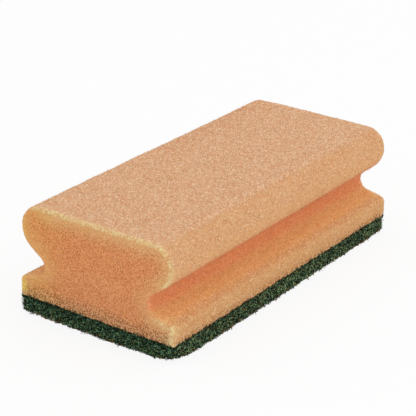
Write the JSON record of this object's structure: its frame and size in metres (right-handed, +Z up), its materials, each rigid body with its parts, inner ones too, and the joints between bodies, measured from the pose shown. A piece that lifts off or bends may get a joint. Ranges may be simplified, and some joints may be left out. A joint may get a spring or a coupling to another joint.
{
  "type": "cleaning sponge",
  "caption": "Foam cleaning sponge with a rounded head, a finger groove along each long side, and a nonwoven scouring pad bonded to its foot.",
  "frame": {"origin": "centre of the rectangle that the sponge covers, on the plane of the scouring pad's underside", "axes": "+X along the sponge's length and the finger grooves, +Y across it, +Z up from the scouring pad to the top of the foam"},
  "size_m": [0.15, 0.072, 0.045],
  "materials": {
    "foam": "matte",
    "scouring_web": "matte"
  },
  "bodies": {
    "root": {"foam_body": "foam", "scouring_pad": "scouring_web"}
  },
  "joints": []
}
